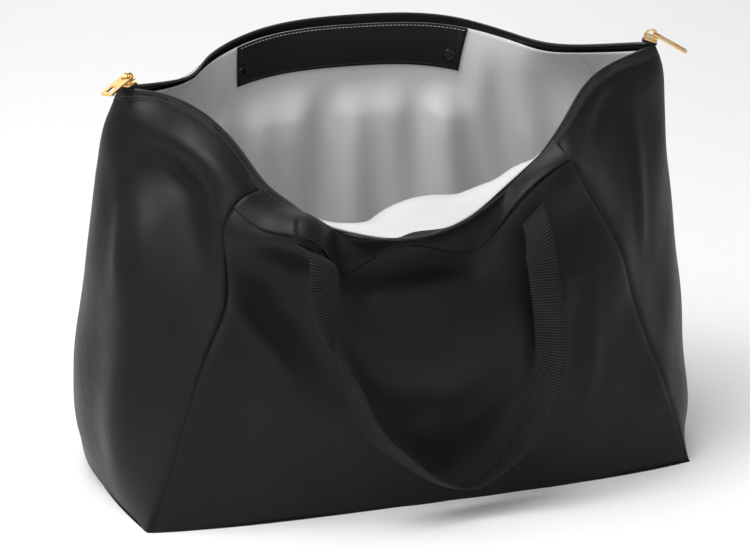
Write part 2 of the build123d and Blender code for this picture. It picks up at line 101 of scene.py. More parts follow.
def soft_light(name, eye, target, size, power):
    """Hang a square soft box."""
    lamp = bpy.data.lights.new(name, "AREA")
    lamp.shape = "SQUARE"
    lamp.size, lamp.energy = size, power
    return look_at(bpy.data.objects.new(name, lamp), eye, target)


lens = bpy.data.cameras.new("camera")
lens.sensor_width, lens.lens = 36.0, 144.0
camera = look_at(bpy.data.objects.new("camera", lens),
                 (-0.90502, -2.66691, 1.13885), (-0.009208, 0.0, 0.186561))
bpy.context.scene.camera = camera

soft_light("top_box", (-0.9, -0.2, 2.4), (0.0, 0.0, 0.2), 2.2, 38)
soft_light("front_box", (-1.7, -2.5, 1.6), (0.0, 0.0, 0.2), 2.0, 20)
soft_light("left_box", (-2.0, -0.6, 1.9), (0.1, 0.0, 0.3), 1.0, 5)
soft_light("mouth_box", (-0.7, -0.1, 1.5), (0.2, 0.0, 0.35), 0.5, 7)
soft_light("back_box", (0.6, 2.6, 1.6), (0.0, 0.0, 0.25), 1.6, 12)
bpy.context.scene.view_settings.view_transform = "Standard"
world = bpy.data.worlds.new("studio")
world.use_nodes = True
world.node_tree.nodes["Background"].inputs["Color"].default_value = (1, 1, 1, 1)
world.node_tree.nodes["Background"].inputs["Strength"].default_value = 0.52
bpy.context.scene.world = world


# ---- materials ----
class Finish:
    """A node material that is put together from a few kinds of pattern."""

    def __init__(self, name, **sockets):
        self.material = bpy.data.materials.new(name)
        self.material.use_nodes = True
        self.tree = self.material.node_tree
        self.shader = self.tree.nodes["Principled BSDF"]
        for socket, value in sockets.items():
            self.shader.inputs[socket.replace("_", " ")].default_value = value
        self.place = self.node("ShaderNodeTexCoord")

    def node(self, kind, **values):
        made = self.tree.nodes.new(kind)
        for key, value in values.items():
            if key in made.inputs.keys() or " " in key:
                made.inputs[key].default_value = value
            else:
                setattr(made, key, value)
        return made

    def link(self, source, target):
        self.tree.links.new(source, target)
        return self

    def noise(self, scale, detail=3.0, rough=0.5, source="Object", stretch=(1, 1, 1)):
        """Cloudy values from 0 to 1, stretched along an axis."""
        turn = self.node("ShaderNodeMapping")
        turn.inputs["Scale"].default_value = stretch
        made = self.node("ShaderNodeTexNoise", Scale=scale, Detail=detail, Roughness=rough)
        self.link(self.place.outputs[source], turn.inputs["Vector"])
        self.link(turn.outputs["Vector"], made.inputs["Vector"])
        return made.outputs["Fac"]

    def ribs(self, pitch, axis, source="UV"):
        """Sine ribs across one axis, one each pitch metres."""
        made = self.node("ShaderNodeTexWave", Scale=1.0 / pitch / 3.18)
        made.wave_type, made.bands_direction = "BANDS", axis
        self.link(self.place.outputs[source], made.inputs["Vector"])
        return made.outputs["Fac"]

    def ramp(self, source, low, high, first=0.3, last=0.7):
        """Colours or greys from low to high as the source goes from first to last."""
        made = self.node("ShaderNodeValToRGB")
        made.color_ramp.elements[0].position = first
        made.color_ramp.elements[1].position = last
        made.color_ramp.elements[0].color = (*low, 1) if len(low) == 3 else low
        made.color_ramp.elements[1].color = (*high, 1) if len(high) == 3 else high
        self.link(source, made.inputs["Fac"])
        return made.outputs["Color"]

    def colour(self, source):
        return self.link(source, self.shader.inputs["Base Color"])

    def roughness(self, source, low, high):
        made = self.node("ShaderNodeMapRange")
        made.inputs["To Min"].default_value = low
        made.inputs["To Max"].default_value = high
        self.link(source, made.inputs["Value"])
        return self.link(made.outputs["Result"], self.shader.inputs["Roughness"])

    def bump(self, *layers):
        """Stack bumps given as (height source, depth in metres)."""
        before = None
        for source, depth in layers:
            made = self.node("ShaderNodeBump")
            made.inputs["Distance"].default_value = depth
            made.inputs["Strength"].default_value = 1.0
            self.link(source, made.inputs["Height"])
            if before is not None:
                self.link(before, made.inputs["Normal"])
            before = made.outputs["Normal"]
        return self.link(before, self.shader.inputs["Normal"])


def black_cloth(name, low, high, rough_low, rough_high, sheen, weave):
    """Smooth black nylon: faint cloudy tone, fine plain weave, soft crinkle."""
    made = Finish(name, Sheen_Weight=sheen, Sheen_Roughness=0.45, Specular_IOR_Level=0.20)
    cloud = made.noise(9.0, 4.0)
    crinkle = made.noise(55.0, 3.0, 0.55)
    made.colour(made.ramp(cloud, low, high))
    made.roughness(made.noise(30.0, 3.0), rough_low, rough_high)
    made.bump((made.ribs(weave, "X"), 0.00003), (made.ribs(weave, "Y"), 0.00003),
              (crinkle, 0.0006))
    return made.material


nylon = black_cloth("black_nylon", (0.0036, 0.0036, 0.0037), (0.0052, 0.0052, 0.0053),
                    0.40, 0.50, 0.01, 0.0009)
strip_cloth = black_cloth("strip_nylon", (0.0040, 0.0040, 0.0041), (0.0055, 0.0055, 0.0056),
                          0.42, 0.52, 0.02, 0.0009)

satin = Finish("silver_satin", Sheen_Weight=0.15, Sheen_Roughness=0.3, Specular_IOR_Level=0.5)
satin.colour(satin.ramp(satin.noise(7.0, 4.0), (0.52, 0.52, 0.53), (0.58, 0.58, 0.59)))
satin.roughness(satin.noise(40.0, 2.0), 0.36, 0.46)
satin.bump((satin.noise(34.0, 3.0, 0.5, stretch=(1, 1, 0.35)), 0.0012),
           (satin.ribs(0.0008, "X"), 0.00002))

webbing = Finish("black_webbing", Sheen_Weight=0.02, Sheen_Roughness=0.5, Specular_IOR_Level=0.18)
ribbed = webbing.ribs(0.0027, "Y")
webbing.colour(webbing.ramp(ribbed, (0.0015, 0.0015, 0.0015), (0.0175, 0.0175, 0.0175), 0.1, 0.9))
webbing.roughness(webbing.noise(90.0, 2.0), 0.6, 0.75)
webbing.bump((ribbed, 0.0007), (webbing.ribs(0.0011, "X"), 0.00012))

zip_cloth = Finish("zip_tape", Specular_IOR_Level=0.3)
zip_cloth.colour(zip_cloth.ramp(zip_cloth.ribs(0.0012, "Y"), (0.008, 0.008, 0.008),
                                (0.014, 0.014, 0.014)))
zip_cloth.roughness(zip_cloth.noise(80.0), 0.7, 0.85)
zip_cloth.bump((zip_cloth.ribs(0.0009, "Y"), 0.00015))

coil = Finish("zip_coil", Specular_IOR_Level=0.5)
coil.colour(coil.ramp(coil.noise(60.0), (0.009, 0.009, 0.009), (0.016, 0.016, 0.016)))
coil.roughness(coil.noise(300.0), 0.3, 0.45)

thread = Finish("black_thread", Specular_IOR_Level=0.5)
thread.colour(thread.ramp(thread.noise(400.0), (0.02, 0.02, 0.02), (0.045, 0.045, 0.045)))
thread.roughness(thread.noise(500.0), 0.4, 0.6)

grey_thread = Finish("grey_thread", Specular_IOR_Level=0.5)
grey_thread.colour(grey_thread.ramp(grey_thread.noise(400.0), (0.35, 0.35, 0.35),
                                    (0.5, 0.5, 0.5)))
grey_thread.roughness(grey_thread.noise(500.0), 0.4, 0.6)

gold = Finish("polished_gold", Metallic=1.0)
gold.colour(gold.ramp(gold.noise(60.0), (0.66, 0.42, 0.15), (0.76, 0.50, 0.20)))
gold.roughness(gold.noise(220.0, 4.0), 0.12, 0.24)
gold.bump((gold.noise(900.0, 2.0), 0.00002))

dark_metal = Finish("dark_metal", Metallic=1.0)
dark_metal.colour(dark_metal.ramp(dark_metal.noise(200.0), (0.02, 0.02, 0.022),
                                  (0.05, 0.05, 0.052)))
dark_metal.roughness(dark_metal.noise(400.0), 0.22, 0.38)

board = Finish("board_plastic", Specular_IOR_Level=0.4)
board.colour(board.ramp(board.noise(50.0), (0.03, 0.03, 0.03), (0.05, 0.05, 0.05)))
board.roughness(board.noise(150.0), 0.5, 0.7)
board.bump((board.noise(600.0), 0.0001))

pale = Finish("studio_floor", Specular_IOR_Level=0.2)
pale.colour(pale.ramp(pale.noise(0.6), (0.90, 0.90, 0.90), (0.91, 0.91, 0.91)))
pale.roughness(pale.noise(3.0), 0.75, 0.85)


# ---- mesh ----
def piece(name, points, faces, material, body="bag", uv=None, smooth=True):
    """Make a mesh object from arrays of points and quads, riding on a body."""
    mesh = bpy.data.meshes.new(name)
    mesh.from_pydata(points.reshape(-1, 3).tolist(), [], faces.tolist())
    if uv is not None:
        corner = np.zeros(len(mesh.loops), np.int32)
        mesh.loops.foreach_get("vertex_index", corner)
        layer = mesh.uv_layers.new(name="UVMap")
        layer.data.foreach_set("uv", uv.reshape(-1, 2)[corner].ravel().astype(np.float32))
    mesh.polygons.foreach_set("use_smooth", np.full(len(mesh.polygons), smooth))
    mesh.materials.append(getattr(material, "material", material))
    mesh.update()
    made = bpy.data.objects.new(name, mesh)
    bpy.context.scene.collection.objects.link(made)
    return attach(made, body) if body else made


def quads(rows, columns, closed=False):
    """Return the quads of a grid, counter-clockwise when columns run right and rows run up.

    closed joins the last column to the first.
    """
    row = np.arange(rows - 1)[:, None]
    column = np.arange(columns if closed else columns - 1)[None, :]
    after = (column + 1) % columns
    corners = (row * columns + column, row * columns + after,
               (row + 1) * columns + after, (row + 1) * columns + column)
    return np.stack(np.broadcast_arrays(*corners), axis=-1).reshape(-1, 4)


def lengths_along(grid):
    """Return the UV of a grid in metres: mean arc length across and up."""
    across = np.linalg.norm(np.diff(grid, axis=1), axis=2).mean(axis=0)
    up = np.linalg.norm(np.diff(grid, axis=0), axis=2).mean(axis=1)
    u = np.concatenate([[0.0], np.cumsum(across)])
    v = np.concatenate([[0.0], np.cumsum(up)])
    return np.stack(np.broadcast_arrays(u[None, :], v[:, None]), axis=-1)


def cloth_piece(name, grid, wall, material, slot, *nodes):
    """Make a layer of cloth from its outer face, with its wall grown inwards."""
    made = piece(name, grid, quads(*grid.shape[:2]), material, uv=lengths_along(grid))
    thick = made.modifiers.new("wall", "SOLIDIFY")
    thick.thickness, thick.offset = wall, -1.0
    if nodes:
        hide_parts(*nodes)
    return made


# ---- the drape ----
# Each rib is nine spots up the cloth, as fractions of half length, half width and height.
RIBS = np.array([
    # left back seam, left side, left end, beside the left peak, left front side, front fold
    [(-1.012, 1.0, 0), (-0.972, 1.031, 0.112), (-0.888, 1.069, 0.275), (-0.804, 1.085, 0.425),
     (-0.722, 1.085, 0.58), (-0.645, 1.062, 0.73), (-0.588, 1.0, 0.862), (-0.557, 0.923, 0.93),
     (-0.521, 0.831, 0.985)],
    [(-1.04, 0.508, 0), (-1.065, 0.554, 0.12), (-1.056, 0.585, 0.275), (-1.014, 0.615, 0.425),
     (-0.968, 0.64, 0.58), (-0.912, 0.66, 0.725), (-0.838, 0.64, 0.855), (-0.757, 0.569, 0.93),
     (-0.661, 0.431, 0.97)],
    [(-1.043, 0, 0), (-1.088, 0, 0.112), (-1.106, 0, 0.25), (-1.090, 0, 0.388),
     (-1.060, 0, 0.538), (-1.030, 0, 0.675), (-1.004, 0, 0.812), (-0.98, 0, 0.925),
     (-0.925, 0, 1.0)],
    [(-1.036, -0.25, 0), (-1.074, -0.278, 0.13), (-1.075, -0.292, 0.31), (-1.053, -0.29, 0.47),
     (-1.015, -0.26, 0.64), (-0.955, -0.19, 0.80), (-0.930, -0.235, 0.90), (-0.893, -0.2, 0.965),
     (-0.848, -0.09, 0.995)],
    [(-1.025, -0.51, 0), (-1.064, -0.555, 0.162), (-1.036, -0.585, 0.368), (-1.0, -0.57, 0.538),
     (-0.946, -0.492, 0.698), (-0.846, -0.34, 0.832), (-0.811, -0.415, 0.888),
     (-0.775, -0.355, 0.938), (-0.739, -0.215, 0.972)],
    [(-1.012, -0.76, 0), (-1.0, -0.795, 0.13), (-0.945, -0.825, 0.33), (-0.885, -0.81, 0.49),
     (-0.815, -0.745, 0.63), (-0.755, -0.66, 0.738), (-0.738, -0.72, 0.812),
     (-0.685, -0.7, 0.862), (-0.59, -0.585, 0.873)],
    # left front seam, then across the front
    [(-1.0, -1.0, 0), (-0.943, -1.023, 0.102), (-0.861, -1.054, 0.295), (-0.782, -1.046, 0.448),
     (-0.707, -0.992, 0.562), (-0.704, -0.92, 0.665), (-0.7, -0.92, 0.745),
     (-0.636, -0.892, 0.79), (-0.518, -0.792, 0.797)],
    [(-0.79, -1.075, 0), (-0.755, -1.054, 0.116), (-0.708, -1.092, 0.263), (-0.662, -1.108, 0.396),
     (-0.609, -1.062, 0.51), (-0.582, -0.985, 0.615), (-0.604, -1.11, 0.714),
     (-0.555, -1.07, 0.752), (-0.466, -0.895, 0.768)],
    [(-0.55, -1.1, 0), (-0.614, -1.11, 0.108), (-0.575, -1.146, 0.255), (-0.536, -1.154, 0.39),
     (-0.493, -1.1, 0.52), (-0.464, -1.15, 0.625), (-0.468, -1.3, 0.7), (-0.45, -1.2, 0.75),
     (-0.414, -1.0, 0.738)],
    [(-0.28, -1.12, 0), (-0.32, -1.1, 0.108), (-0.325, -1.169, 0.25), (-0.32, -1.215, 0.38),
     (-0.30, -1.169, 0.498), (-0.277, -1.066, 0.592), (-0.28, -1.05, 0.65),
     (-0.29, -1.09, 0.69), (-0.3, -1.14, 0.71)],
    [(0, -1.13, 0), (-0.007, -1.12, 0.1), (-0.018, -1.23, 0.245), (-0.029, -1.323, 0.37),
     (-0.043, -1.23, 0.49), (-0.071, -1.07, 0.59), (-0.1, -1.0, 0.645), (-0.114, -1.08, 0.685),
     (-0.125, -1.27, 0.692)],
    [(0.2, -1.13, 0), (0.145, -1.1, 0.1), (0.12, -1.22, 0.25), (0.105, -1.292, 0.39),
     (0.115, -1.215, 0.51), (0.144, -1.03, 0.60), (0.165, -0.95, 0.655), (0.16, -0.97, 0.69),
     (0.148, -1.077, 0.712)],
    [(0.45, -1.125, 0), (0.33, -1.12, 0.095), (0.289, -1.185, 0.235), (0.293, -1.23, 0.385),
     (0.314, -1.169, 0.525), (0.346, -1.04, 0.64), (0.34, -1.0, 0.725), (0.375, -0.87, 0.768),
     (0.418, -0.7, 0.778)],
    # right front seam, front fold, right side, right end, right back side
    [(1.0, -1.0, 0), (0.918, -1.015, 0.165), (0.843, -0.992, 0.305), (0.78, -0.962, 0.428),
     (0.721, -0.938, 0.572), (0.64, -0.9, 0.682), (0.527, -0.885, 0.812), (0.525, -0.715, 0.822),
     (0.525, -0.546, 0.828)],
    [(1.02, -0.76, 0), (1.01, -0.82, 0.13), (0.955, -0.81, 0.28), (0.88, -0.78, 0.42),
     (0.825, -0.738, 0.57), (0.75, -0.66, 0.70), (0.66, -0.57, 0.81), (0.64, -0.48, 0.86),
     (0.634, -0.369, 0.895)],
    [(1.03, -0.508, 0), (1.06, -0.615, 0.088), (1.034, -0.615, 0.252), (0.994, -0.585, 0.412),
     (0.929, -0.538, 0.568), (0.857, -0.462, 0.715), (0.793, -0.34, 0.838),
     (0.768, -0.323, 0.908), (0.775, -0.2, 0.962)],
    [(1.043, 0, 0), (1.092, 0, 0.125), (1.124, 0, 0.275), (1.12, 0, 0.425), (1.1, 0, 0.588),
     (1.079, 0, 0.725), (1.061, 0, 0.85), (1.05, 0, 0.938), (1.014, 0, 0.998)],
    [(1.025, 0.508, 0), (1.057, 0.554, 0.12), (1.071, 0.585, 0.275), (1.061, 0.615, 0.425),
     (1.036, 0.631, 0.58), (0.993, 0.646, 0.725), (0.936, 0.6, 0.85), (0.864, 0.508, 0.92),
     (0.786, 0.385, 0.975)],
    # right back seam, then across the back
    [(1.0, 1.0, 0), (0.946, 1.031, 0.112), (0.882, 1.069, 0.275), (0.821, 1.085, 0.425),
     (0.757, 1.085, 0.58), (0.693, 1.062, 0.725), (0.645, 1.0, 0.85), (0.635, 0.923, 0.91),
     (0.65, 0.815, 0.975)],
    [(0.507, 1.035, 0), (0.504, 1.1, 0.112), (0.489, 1.177, 0.262), (0.468, 1.223, 0.425),
     (0.446, 1.246, 0.588), (0.429, 1.246, 0.75), (0.427, 1.2, 0.895), (0.443, 1.138, 0.96),
     (0.475, 1.046, 1.01)],
    [(0, 1.05, 0), (0, 1.123, 0.112), (0, 1.215, 0.262), (0, 1.285, 0.425), (0.007, 1.323, 0.588),
     (0.018, 1.323, 0.75), (0.032, 1.277, 0.91), (0.055, 1.231, 0.978), (0.096, 1.154, 1.035)],
    [(-0.507, 1.035, 0), (-0.5, 1.1, 0.112), (-0.482, 1.177, 0.262), (-0.457, 1.223, 0.425),
     (-0.429, 1.246, 0.588), (-0.404, 1.246, 0.75), (-0.379, 1.208, 0.905),
     (-0.361, 1.154, 0.972), (-0.332, 1.062, 1.018)],
], dtype=float) * HALF
COUNT = len(RIBS)
LEFT_END, LEFT_SEAM, LEFT_STRAP, RIGHT_STRAP, RIGHT_SEAM = 2, 6, 8, 12, 13
RIGHT_END, RIGHT_BACK_SEAM, BACK_RIGHT_STRAP, BACK_LEFT_STRAP = 16, 18, 19, 21
SEAMS = (0, LEFT_SEAM, RIGHT_SEAM, RIGHT_BACK_SEAM, COUNT)


def bends(spots):
    """Return the lengths between spots and the second derivatives of their natural cubic.

    spots is (rows, n, 3); the knots are chord lengths.
    """
    gap = np.linalg.norm(np.diff(spots, axis=1), axis=2)
    slope = np.diff(spots, axis=1) / gap[..., None]
    rows, n = spots.shape[:2]
    middle = np.arange(1, n - 1)
    system = np.zeros((rows, n, n))
    system[:, middle, middle - 1] = gap[:, :-1]
    system[:, middle, middle] = 2 * (gap[:, :-1] + gap[:, 1:])
    system[:, middle, middle + 1] = gap[:, 1:]
    system[:, 0, 0] = system[:, -1, -1] = 1
    right = np.zeros((rows, n, 3))
    right[:, 1:-1] = 6 * np.diff(slope, axis=1)
    return gap, np.linalg.solve(system, right)


def through(spots, places):
    """Return the natural cubic through spots (rows, n, 3) at places counted in spots (m,)."""
    gap, bend = bends(spots)
    first = np.clip(np.floor(places).astype(int), 0, spots.shape[1] - 2)
    after = (places - first)[None, :, None]
    before = 1 - after
    square = gap[:, first, None] ** 2 / 6
    return (before * spots[:, first] + after * spots[:, first + 1]
            + square * ((before ** 3 - before) * bend[:, first]
                        + (after ** 3 - after) * bend[:, first + 1]))


def arc(points):
    """Return the running length along a line of points."""
    return np.concatenate([[0.0], np.cumsum(np.linalg.norm(np.diff(points, axis=0), axis=1))])


DENSE = through(RIBS, np.linspace(0, RIBS.shape[1] - 1, 400))
REACH = np.array([arc(rib) for rib in DENSE])          # running length up each rib
LENGTH = REACH[:, -1]


def smooth_step(value, low, high):
    """Return 0 below low, 1 above high and a smooth rise between."""
    share = np.clip((value - low) / (high - low), 0, 1)
    return share * share * (3 - 2 * share)


def spots_at(levels, dense=DENSE, reach=REACH):
    """Return every rib's point at its own level, for levels (rows, ribs)."""
    spots = [[np.interp(levels[:, k], reach[k], dense[k][:, a]) for a in range(3)]
             for k in range(COUNT)]
    return np.array(spots).transpose(2, 0, 1)


def below_teeth(distance):
    """Return each rib's length up to a distance below the teeth."""
    return LENGTH - distance


def above_base(distance):
    """Return each rib's length up to a distance above the bottom seam."""
    return np.full(COUNT, distance)


def levels_between(low, high, rows):
    """Return the levels of each row of a piece."""
    share = np.linspace(0, 1, rows)[:, None]
    return low * (1 - share) + high * share


def columns_between(first, last, spacing):
    """Return places round the bag, counted in ribs, about spacing apart."""
    spots = spots_at((LENGTH * 0.6)[None, :])[0]
    places = [np.array([float(first)])]
    for k in range(int(np.floor(first)), int(np.ceil(last))):
        start, stop = max(first, k), min(last, k + 1)
        width = np.linalg.norm(spots[(k + 1) % COUNT] - spots[k % COUNT]) * (stop - start)
        places.append(np.linspace(start, stop, max(2, int(round(width / spacing))) + 1)[1:])
    return np.concatenate(places)


def drape(levels, places, dense=DENSE, reach=REACH):
    """Return the cloth at levels (rows, ribs) and places round the bag, as (rows, m, 3).

    Near the bottom each panel is its own spline, so its seams are corners; higher up one spline
    runs all the way round, so that the corners soften towards the zip.
    """
    spots = spots_at(levels, dense, reach)
    round_trip = through(np.concatenate([spots] * 3, axis=1), places + COUNT)
    closed = np.concatenate([spots, spots[:, :1]], axis=1)
    cornered = np.zeros_like(round_trip)
    for start, stop in zip(SEAMS[:-1], SEAMS[1:]):
        for turn in (-COUNT, 0, COUNT):
            inside = (places >= start + turn) & (places <= stop + turn)
            if inside.any():
                panel = closed[:, start:stop + 1]
                cornered[:, inside] = through(panel, places[inside] - start - turn)
    softness = smooth_step((levels / LENGTH).mean(axis=1), 0.05, 0.6)[:, None, None]
    return cornered * (1 - softness) + round_trip * softness


def outward(grid):
    """Return the unit normals of a grid that runs left to right when seen from outside."""
    normal = np.cross(np.gradient(grid, axis=1), np.gradient(grid, axis=0))
    return normal / np.linalg.norm(normal, axis=2, keepdims=True)


def to_line(points, line):
    """Return each point's distance from a line of spots, and how far along it, 0 to 1."""
    start, step = line[:-1], np.diff(line, axis=0)
    size = np.linalg.norm(step, axis=1)
    walked = arc(line)
    part = np.clip(np.einsum("pkx,kx->pk", points[:, None] - start, step) / size ** 2, 0, 1)
    away = np.linalg.norm(points[:, None] - start - part[..., None] * step, axis=2)
    nearest = away.argmin(axis=1)
    pick = np.arange(len(points))
    along = walked[nearest] + part[pick, nearest] * size[nearest]
    return away[pick, nearest], along / walked[-1]


# Folds in the cloth: where each starts, bends and ends, in millimetres, its depth outwards
# (negative is a valley) and its half width.
FOLDS = [
    # under the left peak: the valley, the ridge beside the rim and the ridge down the side
    ([(-260, -30, 360), (-225, -55, 325), (-195, -115, 305)], -5, 14),
    ([(-245, -40, 375), (-200, -85, 345), (-165, -125, 310)], 3, 10),
    ([(-275, -15, 345), (-285, -65, 210)], 3, 12),
    # across the front panel: crease by the left seam, long drag, hollow under the lip, belly
    ([(-200, -125, 225), (-145, -150, 155)], 4, 9),
    ([(-165, -145, 290), (-140, -140, 215), (-85, -155, 100)], -8, 22),
    ([(-110, -160, 255), (-60, -135, 240), (40, -135, 240), (75, -135, 260)], -9, 20),
    ([(-85, -150, 95), (55, -160, 105)], -4, 22),
    # right of the right strap, then under the right peak
    ([(150, -145, 220), (145, -150, 95)], -5, 12),
    ([(165, -140, 215), (160, -150, 80)], 3, 8),
    ([(235, -30, 375), (190, -75, 320)], -6, 12),
    ([(250, -30, 370), (250, -40, 310), (235, -100, 210)], 3, 10),
]


def creased(grid):
    """Move a grid along its normals by the folds.

    Each adds depth x exp(-(distance / half width)^2), and fades to its ends as a sine to the 0.6.
    """
    points = grid.reshape(-1, 3)
    rise = np.zeros(len(points))
    for line, depth, half_width in FOLDS:
        away, along = to_line(points, np.array(line) / 1000.0)
        ends = np.sin(np.pi * np.clip(along, 0.02, 0.98)) ** 0.6
        rise += depth / 1000.0 * np.exp(-(away / half_width * 1000.0) ** 2) * ends
    return grid + outward(grid) * rise.reshape(grid.shape[:2])[..., None]


def ripple(grid, height):
    """Move a grid along its normals by a few slow crossing waves."""
    x, y, z = grid[..., 0], grid[..., 1], grid[..., 2]
    wave = (np.sin(61 * x + 23 * z + 1.3) * np.sin(37 * z - 19 * x + 0.4)
            + 0.6 * np.sin(97 * x - 71 * z + 2.1 + 40 * y))
    return grid + outward(grid) * (wave * height)[..., None]


def seam_groove(grid, left=True, right=True, depth=0.0016, width=0.0035):
    """Pull the cloth in at its side seams: depth x exp(-(distance from the seam / width)^2)."""
    run = np.linalg.norm(np.diff(grid, axis=1), axis=2)
    from_left = np.concatenate([np.zeros((len(grid), 1)), np.cumsum(run, axis=1)], axis=1)
    from_right = from_left[:, -1:] - from_left
    dip = np.zeros(grid.shape[:2])
    if left:
        dip += np.exp(-(from_left / width) ** 2)
    if right:
        dip += np.exp(-(from_right / width) ** 2)
    return grid - outward(grid) * (dip * depth)[..., None]


# ---- shell ----
def panel(first, last, low, high):
    """Return a shell panel's outer face between two seams."""
    places = columns_between(first, last, FINE)
    rows = int((high - low).mean() / FINE)
    grid = drape(levels_between(low, high, rows), places)
    return seam_groove(ripple(creased(grid), 0.0006))


shell_top = below_teeth(CLOTH_LEVEL)
hem = below_teeth(HEM_LEVEL)
base = above_base(0.0)
front_panel = cloth_piece("front_panel_cloth", panel(LEFT_SEAM, RIGHT_SEAM, base, hem),
                          SHELL_WALL, nylon, "shell_nylon", "front_panel")
back_panel = cloth_piece("back_panel_cloth", panel(RIGHT_BACK_SEAM, COUNT, base, hem),
                         SHELL_WALL, nylon, "shell_nylon", "back_panel")
left_side = cloth_piece("left_side_cloth", panel(0, LEFT_SEAM, base, shell_top),
                        SHELL_WALL, nylon, "shell_nylon", "left_side_panel")
right_side = cloth_piece("right_side_cloth", panel(RIGHT_SEAM, RIGHT_BACK_SEAM, base, shell_top),
                         SHELL_WALL, nylon, "shell_nylon", "right_side_panel")


def yoke_lift(depth, places):
    """Return how far a yoke's outer face stands off the drape.

    It grows from the tape's face near the zip to a slot for the webbing at the lower edge, and
    that slot closes away from the straps as exp(-(distance in ribs / 0.8)^2).
    """
    depth = np.asarray(depth, dtype=float)
    straps = np.array([LEFT_STRAP, RIGHT_STRAP, BACK_RIGHT_STRAP, BACK_LEFT_STRAP])
    near = np.exp(-((np.asarray(places)[..., None] - straps) / 0.8) ** 2).max(axis=-1)
    share = np.clip((depth - CLOTH_LEVEL) / (YOKE_DEPTH - CLOTH_LEVEL), 0, 1)[..., None]
    return YOKE_STAND - YOKE_CLOSE * share * (1 - near) + YOKE_SLOT * share ** 0.4 * near


def yoke(first, last):
    """Return a yoke's outer face, lifted off the panel at its lower edge to leave the slot."""
    places = columns_between(first, last, FINE)
    levels = levels_between(below_teeth(YOKE_DEPTH), shell_top, YOKE_ROWS)
    grid = creased(drape(levels, places))
    lift = yoke_lift(np.linspace(YOKE_DEPTH, CLOTH_LEVEL, YOKE_ROWS), places)
    return grid + outward(grid) * lift[..., None]


front_yoke = cloth_piece("front_yoke_cloth", yoke(LEFT_SEAM, RIGHT_SEAM), YOKE_WALL, nylon,
                         "shell_nylon", "front_yoke")
back_yoke = cloth_piece("back_yoke_cloth", yoke(RIGHT_BACK_SEAM, COUNT), YOKE_WALL, nylon,
                        "shell_nylon", "back_yoke")


def bottom(height, inset, rows=20, columns=41):
    """Return the flat bowed bottom: a grid that narrows to the front and back edges."""
    u = np.linspace(-1, 1, columns)[None, :]
    v = np.linspace(-1, 1, rows)[:, None]
    x = u * (HALF[0] - inset) * (1 + 0.043 * (1 - v ** 2))
    y = v * (HALF[1] - inset) * (1 + (0.09 - 0.04 * v) * (1 - u ** 4))
    return np.stack(np.broadcast_arrays(x, y, height + 0 * x), axis=-1)


base_cloth = cloth_piece("base_cloth", bottom(SHELL_WALL, 0.0006), SHELL_WALL, nylon,
                         "shell_nylon", "base_panel")

# ---- lining ----
def own_cloth(ribs, low, high, rows, places):
    """Return a grid on cloth with its own ribs, between two lengths below each rib's top.

    low is None for cloth that starts at the ribs' feet, where it runs straight from rib to rib.
    """
    dense = through(ribs, np.linspace(0, ribs.shape[1] - 1, 300))
    reach = np.array([arc(rib) for rib in dense])
    share = np.linspace(0, 1, rows)
    spots = np.empty((rows, len(ribs), 3))
    for k, (rib, walked) in enumerate(zip(dense, reach)):
        foot = 0.0 if low is None else walked[-1] - low
        level = foot * (1 - share) + (walked[-1] - high) * share
        for a in range(3):
            spots[:, k, a] = np.interp(level, walked, rib[:, a])
    curved = through(spots, places)
    if low is not None:
        return curved
    before = np.clip(places.astype(int), 0, len(ribs) - 2)
    part = (places - before)[None, :, None]
    straight = spots[:, before] * (1 - part) + spots[:, before + 1] * part
    free = smooth_step(share, 0.05, 0.35)[:, None, None]
    return straight * (1 - free) + curved * free


def even_places(ribs, spacing, first=0.0, last=1.0):
    """Return places along cloth with its own ribs, from one share of its width to another."""
    walked = arc(ribs[:, 6])
    count = int((last - first) * walked[-1] / spacing)
    return np.interp(np.linspace(first, last, count) * walked[-1], walked, np.arange(len(ribs)))


def hanging_folds(grid, depth, top, hush=0.0):
    """Fold a lining softly inwards: three slow waves across it that drift as they go down.

    The folds fade to nothing at the zip over the share top; hush quietens a patch.
    """
    rows = len(grid)
    share = np.linspace(0, 1, rows)[:, None]
    run = arc(grid[rows // 2])[None, :]
    hang = np.sin(run * 62 + 1.2 + 2.2 * share) + 0.7 * np.sin(run * 113 - 2.6 * share + 0.5)
    hang = hang + 0.5 * np.sin(run * 29 + 1.8 * share)
    fold = depth * (hang + 2.2) * smooth_step(1 - share, 0.0, top) * smooth_step(share, 0, 0.06)
    fold = fold * smooth_step(run, 0, 0.03) * smooth_step(run[:, -1:] - run, 0, 0.03)
    return grid - outward(grid) * (fold * (1 - hush))[..., None]


def tucked(grid, depth, top):
    """Draw a lining in behind the shell's folds.

    It goes in by depth over its middle, and by nothing at its foot, its sides and its top.
    """
    share = np.linspace(0, 1, len(grid))[:, None]
    run = arc(grid[len(grid) // 2])[None, :]
    inward = depth * smooth_step(share, 0.04, 0.2) * smooth_step(1 - share, 0.02, top)
    inward = inward * smooth_step(run, 0, 0.03) * smooth_step(run[:, -1:] - run, 0, 0.03)
    return grid - outward(grid) * inward[..., None]


def inset_ribs(places):
    """Return nine-spot ribs inside the shell at places round the bag, for the side linings."""
    levels = levels_between(above_base(0.004), below_teeth(0.009), 9)
    fan = (places[:, None] + np.array([-0.1, 0.0, 0.1])[None, :]).ravel()
    grid = drape(levels, fan)
    deeper = 1 + 1.4 * np.sin(np.linspace(0, np.pi, 9))
    moved = grid + outward(grid) * LINING_OUT * deeper[:, None, None]
    return moved[:, 1::3].transpose(1, 0, 2)


